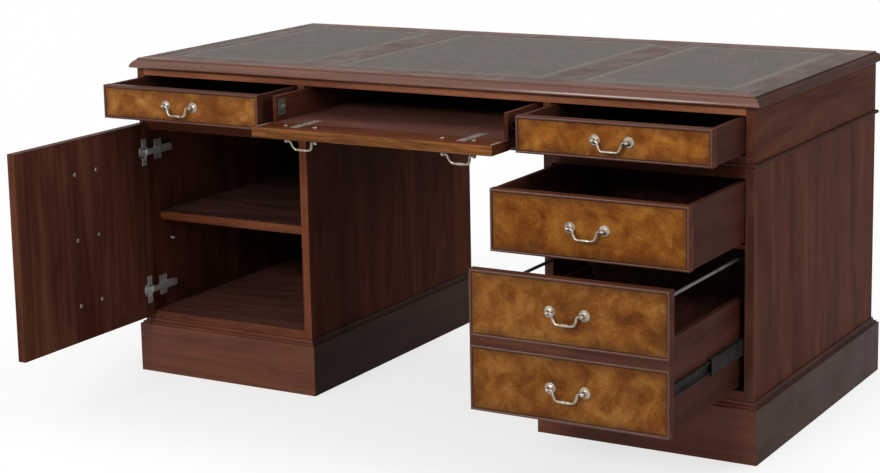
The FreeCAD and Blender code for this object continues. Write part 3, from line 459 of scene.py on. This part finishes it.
# the shelf is tinted lighter and greyer: painted light and painted reflection
paint(["cupboard_shelf"], wood_material(
    "mahogany shelf", "x", (0.90, 1.30, 1.90), shift=(7.0, 1.0, 0.0), front_tint=(1.5, 1.4, 1.2),
    front_sheen=0.09))
paint(["top_panel"], wood_material(
    "mahogany top", "x", (0.75, 0.85, 0.95), sheen=0.018, shift=(11.0, 0.0, 0.0), calm=0.6))
# mitred frames: front lengths tinted lighter, side lengths darker, as painted light and painted shade
paint(["top_edge_moulding"], mitred_material(
    "mahogany moulding", 0.0, CARCASS_HALF_W, ((1.60, 1.55, 1.25), (0.40, 0.46, 0.52)),
    sheen=0.016, coat=1.0, front_sheen=0.20))
paint(["frieze_bead"], mitred_material(
    "mahogany bead", 0.0, CARCASS_HALF_W, (PLAIN, (0.60, 0.65, 0.70)),
    sheen=0.006, coat=0.3, front_sheen=0.10))
paint(["plinths"], mitred_material(
    "mahogany plinth", PEDESTAL_X, PEDESTAL_HALF_W, ((1.65, 1.65, 1.65), (0.34, 0.40, 0.48)),
    sheen=0.024, coat=0.0, front_sheen=0.16))

# the tray and the drawers
# the tray floor is tinted lighter and greyer: painted reflection
paint(["tray_floor"], wood_material(
    "mahogany tray", "x", (1.25, 1.70, 2.30), sheen=0.03, shift=(7.0, 4.0, 0.0), calm=0.6))
paint(["tray_sides"], wood_material(
    "mahogany tray side", "y", (0.9, 0.9, 0.9), sheen=0.02, shift=(9.0, 0.0, 1.0)))
paint(["drawer_bearers", "left_drawer_box", "right_drawer_box", "upper_drawer_box",
       "file_drawer_box"], drawer_wood())

# the veneered fronts: where the figure is cut from, and the tint of its amber, partly the veneer's
# own colour and partly painted light and reflection, fitted to how each front is lit
DRAWER_FRONTS = {
    "left": ((0.2, 0.0, 0.4), (0.98, 1.05, 1.40)),
    "right": ((1.3, 0.0, 0.1), (1.05, 1.05, 1.0)),
    "upper": ((2.1, 0.0, 0.6), (0.82, 0.79, 0.68)),
    "file": ((3.7, 0.0, 0.9), (0.73, 0.77, 0.88)),
}
for drawer, (shift, amber) in DRAWER_FRONTS.items():
    node = f"{drawer}_drawer_front"
    panels = [(FILE_SPAN, z) for z in FILE_PANEL_Z] if drawer == "file" else [panel_of(node)]
    paint([node], front_material(f"{drawer} front", panels, shift=shift, amber=amber))
paint(["cupboard_door"], front_material(
    "door", [(LEFT_SPAN, z) for z in DOOR_PANEL_Z], side="-x", joint=joints["cupboard_door_hinge"],
    grain="z", shift=(4.4, 0.0, 0.3), board=(1.15, 1.30, 1.40), amber=(0.85, 0.85, 0.85)))
paint(["drop_front"], front_material(
    "drop front", [((-FLAP_HALF_W, FLAP_HALF_W), FLAP_Z)], side="-z",
    joint=joints["drop_front_hinge"], shift=(5.9, 0.0, 0.2), board=(1.25, 1.15, 0.95),
    edge_veneer=((0.085, 0.0300, 0.0110), (0.220, 0.0860, 0.0270))))


# ---- leather --------------------------------------------------------------------------------
HIDE = [(0.32, (0.026, 0.0150, 0.0095)), (0.68, (0.058, 0.0370, 0.0240))]
HIDE_PEBBLE = (0.010, 0.0075, 0.006)
GILT = (0.30, 0.22, 0.12)
FILLETS = ((0.0105, 0.0007), (0.0205, 0.0007), (0.0235, 0.0004))    # distance in, half width
CHAIN_IN, CHAIN_HALF_W, CHAIN_STEP = 0.0155, 0.0068, 0.0075


def leather_material(name, centre_x, half_x, half_y):
    """Grained hide with a tooled and gilt band inside its edge."""
    g = material_graph(name)
    x, y, _ = g.axes(g.place)
    near_x = g.minus(half_x, g.off(g.off(x), centre_x))
    near_y = g.minus(half_y, g.off(y))
    inward = g.least(near_x, near_y)                    # distance in from the skin's edge
    run = g.blend(g.math("LESS_THAN", near_x, near_y), x, y)

    # the band is fillets, and between them a running chain of small lozenges
    tooling = None
    for at, half in FILLETS:
        fillet = g.span(g.off(inward, at), half, half * 0.55)
        tooling = fillet if tooling is None else g.most(tooling, fillet)
    along_step = g.off(g.math("FRACT", g.math("DIVIDE", run, CHAIN_STEP)), 0.5)
    lozenge = g.plus(along_step, g.math("DIVIDE", g.off(inward, CHAIN_IN), CHAIN_HALF_W))
    chain = g.times(g.span(lozenge, 0.50, 0.46), g.span(lozenge, 0.30, 0.34))
    stud = g.span(lozenge, 0.12, 0.09)
    tooling = g.most(tooling, g.most(chain, stud))
    rubbed = g.span(g.noise(g.place, 60.0, 3.0, 0.6), 0.30, 0.52, 0.45, 1.0)
    gilt = g.times(tooling, rubbed)

    pebble = g.cells(g.place, 620.0, "SMOOTH_F1")
    crease = g.noise(g.place, 150.0, 4.0, 0.6, 0.6)
    hide = g.ramp(g.noise(g.place, 13.0, 4.0, 0.6, 0.4), HIDE, smooth=True)
    hide = g.mix(g.span(pebble, 0.15, 0.6, 0.0, 0.35), hide, HIDE_PEBBLE)
    colour = g.mix(g.times(gilt, 0.50), hide, GILT)
    rough = g.blend(gilt, g.span(crease, 0.3, 0.7, 0.40, 0.52), 0.40)
    relief = g.weighed((pebble, -0.55), (crease, 0.5), (tooling, -0.9))
    return g.shade(colour, rough, relief, lift=0.0003, strength=0.6, Metallic=g.times(gilt, 0.30),
                   Specular_IOR_Level=0.12)


centre_half_x, leather_half_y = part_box("leather_centre")[1].xy
paint(["leather_centre"], leather_material("leather centre", 0.0, centre_half_x, leather_half_y))
paint(["leather_sides"], leather_material(
    "leather sides", *pair_across("leather_sides"), leather_half_y))


# ---- metal ----------------------------------------------------------------------------------
def old_pewter():
    """Handles of pewter, tarnished darker in broad and fine patches."""
    g = material_graph("old pewter")
    broad = g.noise(g.place, 90.0, 4.0, 0.6, 0.5)
    fine = g.noise(g.place, 900.0, 3.0, 0.6)
    tarnish = g.span(g.weighed((broad, 0.8), (fine, 0.2)), 0.42, 0.64)
    colour = g.mix(tarnish, (0.42, 0.36, 0.295), (0.185, 0.148, 0.110))
    rough = g.span(tarnish, 0.0, 1.0, 0.26, 0.46)
    return g.shade(colour, rough, fine, lift=0.0001, strength=0.25, Metallic=0.85)


def plated_steel(name, bright, dull, rough_span, metal, sheen):
    """Sheet steel with a plating of that colour, drawn along its length and a little cloudy."""
    g = material_graph(name)
    brushed = g.noise(g.stretch(g.place, (700.0, 30.0, 700.0)), 1.0)
    cloud = g.noise(g.place, 45.0, 3.0, 0.6)
    colour = g.mix(g.span(cloud, 0.35, 0.65), bright, dull)
    rough = g.span(brushed, 0.3, 0.7, *rough_span)
    return g.shade(colour, rough, brushed, lift=0.00008, strength=0.3, Metallic=metal,
                   Specular_IOR_Level=sheen)


pewter = old_pewter()
bright_steel = plated_steel(
    "nickel plate", (0.62, 0.60, 0.58), (0.42, 0.41, 0.39), (0.24, 0.34), metal=0.60, sheen=0.4)
strap_steel = plated_steel(
    "rubbed nickel", (0.27, 0.22, 0.20), (0.18, 0.15, 0.14), (0.34, 0.46), metal=0.45, sheen=0.15)
dark_steel = plated_steel(
    "worn nickel", (0.13, 0.12, 0.115), (0.08, 0.075, 0.07), (0.34, 0.48), metal=0.4, sheen=0.08)
black_steel = plated_steel(
    "black zinc", (0.026, 0.023, 0.022), (0.013, 0.012, 0.011), (0.34, 0.50), metal=0.05,
    sheen=0.006)
for name, obj in nodes.items():
    if name.endswith(("_bail", "_handle_posts")):
        paint([name], pewter)
    elif "slide" in name:
        paint([name], black_steel)
    elif name in ("tray_catches", "file_drawer_rails"):
        paint([name], dark_steel)
    elif name.endswith(("_hinge_leaves", "_catch_plates")):
        paint([name], strap_steel)
    elif obj.data.materials[0].name.startswith("steel"):
        paint([name], bright_steel)


# ---- floor and light ------------------------------------------------------------------------
FLOOR_REACH = 60.0
FLOOR_NEAR, FLOOR_FAR = 1.3, 2.6            # between them the seen floor fades to plain white
LAMP_WHITE = (1.0, 0.98, 0.95)
# name, place, what it aims at, size, watts, colour
SOFTBOXES = [
    ("key", (0.0, -9.1, 4.5), (0.0, -0.3, 0.4), (2.6, 1.8), 505.0, LAMP_WHITE),
    ("fill", (-1.75, -4.2, 3.3), (0.0, -0.3, 0.5), (0.8, 1.6), 30.0, LAMP_WHITE),
    ("side", (7.0, -1.6, 3.4), (0.2, 0.0, 0.4), (3.0, 3.0), 138.0, (1.0, 0.98, 0.98)),
    ("top", (0.2, 1.2, 4.2), (0.0, 0.0, 0.6), (3.0, 2.0), 70.0, LAMP_WHITE),
    ("back", (6.5, 6.5, 3.8), (0.0, 0.3, 0.4), (3.0, 2.4), 150.0, LAMP_WHITE),
]


def placed(obj):
    """The object, put into the scene."""
    bpy.context.scene.collection.objects.link(obj)
    return obj


def white_for_sight(g, seen, rest):
    """seen where a camera, mirror or glass looks, rest for the light that falls on the desk."""
    rays = g.add("ShaderNodeLightPath").outputs
    looks = g.most(rays["Is Camera Ray"], g.most(rays["Is Glossy Ray"], rays["Is Transmission Ray"]))
    return g.add("ShaderNodeMixShader", {0: looks, 1: rest, 2: seen}).outputs[0]


def glow(g, kind, colour, strength):
    return g.add(kind, {"Color": colour, "Strength": strength}).outputs[0]


def matt(g, colour):
    return g.add("ShaderNodeBsdfDiffuse", {"Color": colour}).outputs[0]


def floor_material():
    """A pale floor that keeps the desk's shadow near it, and is plain white further off."""
    g = material_graph("floor")
    near = g.add("ShaderNodeAddShader", {
        0: matt(g, (0.34, 0.34, 0.34)), 1: glow(g, "ShaderNodeEmission", WHITE, 0.68)}).outputs[0]
    away = g.add("ShaderNodeVectorMath", {0: g.place}, operation="LENGTH").outputs["Value"]
    seen = g.add("ShaderNodeMixShader", {
        0: g.span(away, FLOOR_NEAR, FLOOR_FAR), 1: near,
        2: glow(g, "ShaderNodeEmission", WHITE, 1.0)}).outputs[0]
    return g.finish(white_for_sight(g, seen, matt(g, (0.66, 0.655, 0.65))))


def floor_object():
    corners = [(x * FLOOR_REACH, y * FLOOR_REACH, 0) for x, y in ((-1, -1), (1, -1), (1, 1), (-1, 1))]
    mesh = bpy.data.meshes.new("floor")
    mesh.from_pydata(corners, [], [(0, 1, 2, 3)])
    mesh.materials.append(floor_material())
    return placed(bpy.data.objects.new("floor", mesh))


def studio_world():
    g = Graph(bpy.data.worlds.new("studio"), "ShaderNodeOutputWorld")
    backdrop = glow(g, "ShaderNodeBackground", WHITE, 1.0)
    ambient = glow(g, "ShaderNodeBackground", (0.97, 0.985, 1.0), 0.42)
    return g.finish(white_for_sight(g, backdrop, ambient))


def softbox(name, place, aim, size, watts, colour):
    lamp = bpy.data.lights.new(name, "AREA")
    lamp.shape = "RECTANGLE"
    lamp.size, lamp.size_y = size
    lamp.energy = watts
    lamp.color = colour
    obj = placed(bpy.data.objects.new(name, lamp))
    obj.location = place
    obj.rotation_euler = (Vector(aim) - Vector(place)).to_track_quat("-Z", "Y").to_euler()


floor_object()
bpy.context.scene.world = studio_world()
for lamp_facts in SOFTBOXES:
    softbox(*lamp_facts)


# ---- camera, fitted to the straight edges of the desk -----------------------------------------
AZIMUTH, ELEVATION, ROLL = (math.radians(angle) for angle in (30.2589, 10.1763, 1.12))
TARGET, DISTANCE = Vector((-0.173098, 0.0, 0.528346)), 4.935456
IMAGE_W, IMAGE_H = 880.0, 473.0
FOCAL_PX, CENTRE_PX = 2036.04, (439.93, 149.94)
SENSOR = 36.0


def fitted_camera():
    look = Vector((-math.sin(AZIMUTH) * math.cos(ELEVATION),
                   math.cos(AZIMUTH) * math.cos(ELEVATION),
                   -math.sin(ELEVATION)))
    right = Vector((math.cos(AZIMUTH), math.sin(AZIMUTH), 0.0))
    up = right.cross(look)
    rolled_right = right * math.cos(ROLL) - up * math.sin(ROLL)
    rolled_up = right * math.sin(ROLL) + up * math.cos(ROLL)
    lens = bpy.data.cameras.new("camera")
    lens.sensor_width = SENSOR
    lens.lens = FOCAL_PX / IMAGE_W * SENSOR
    lens.shift_x = (IMAGE_W / 2 - CENTRE_PX[0]) / IMAGE_W
    lens.shift_y = (CENTRE_PX[1] - IMAGE_H / 2) / IMAGE_W
    lens.clip_start, lens.clip_end = 0.1, 200.0
    camera = placed(bpy.data.objects.new("camera", lens))
    turn = Matrix((rolled_right, rolled_up, -look)).transposed().to_4x4()
    camera.matrix_world = Matrix.Translation(TARGET - look * DISTANCE) @ turn
    return camera


bpy.context.scene.camera = fitted_camera()
bpy.context.scene.view_settings.view_transform = "Standard"
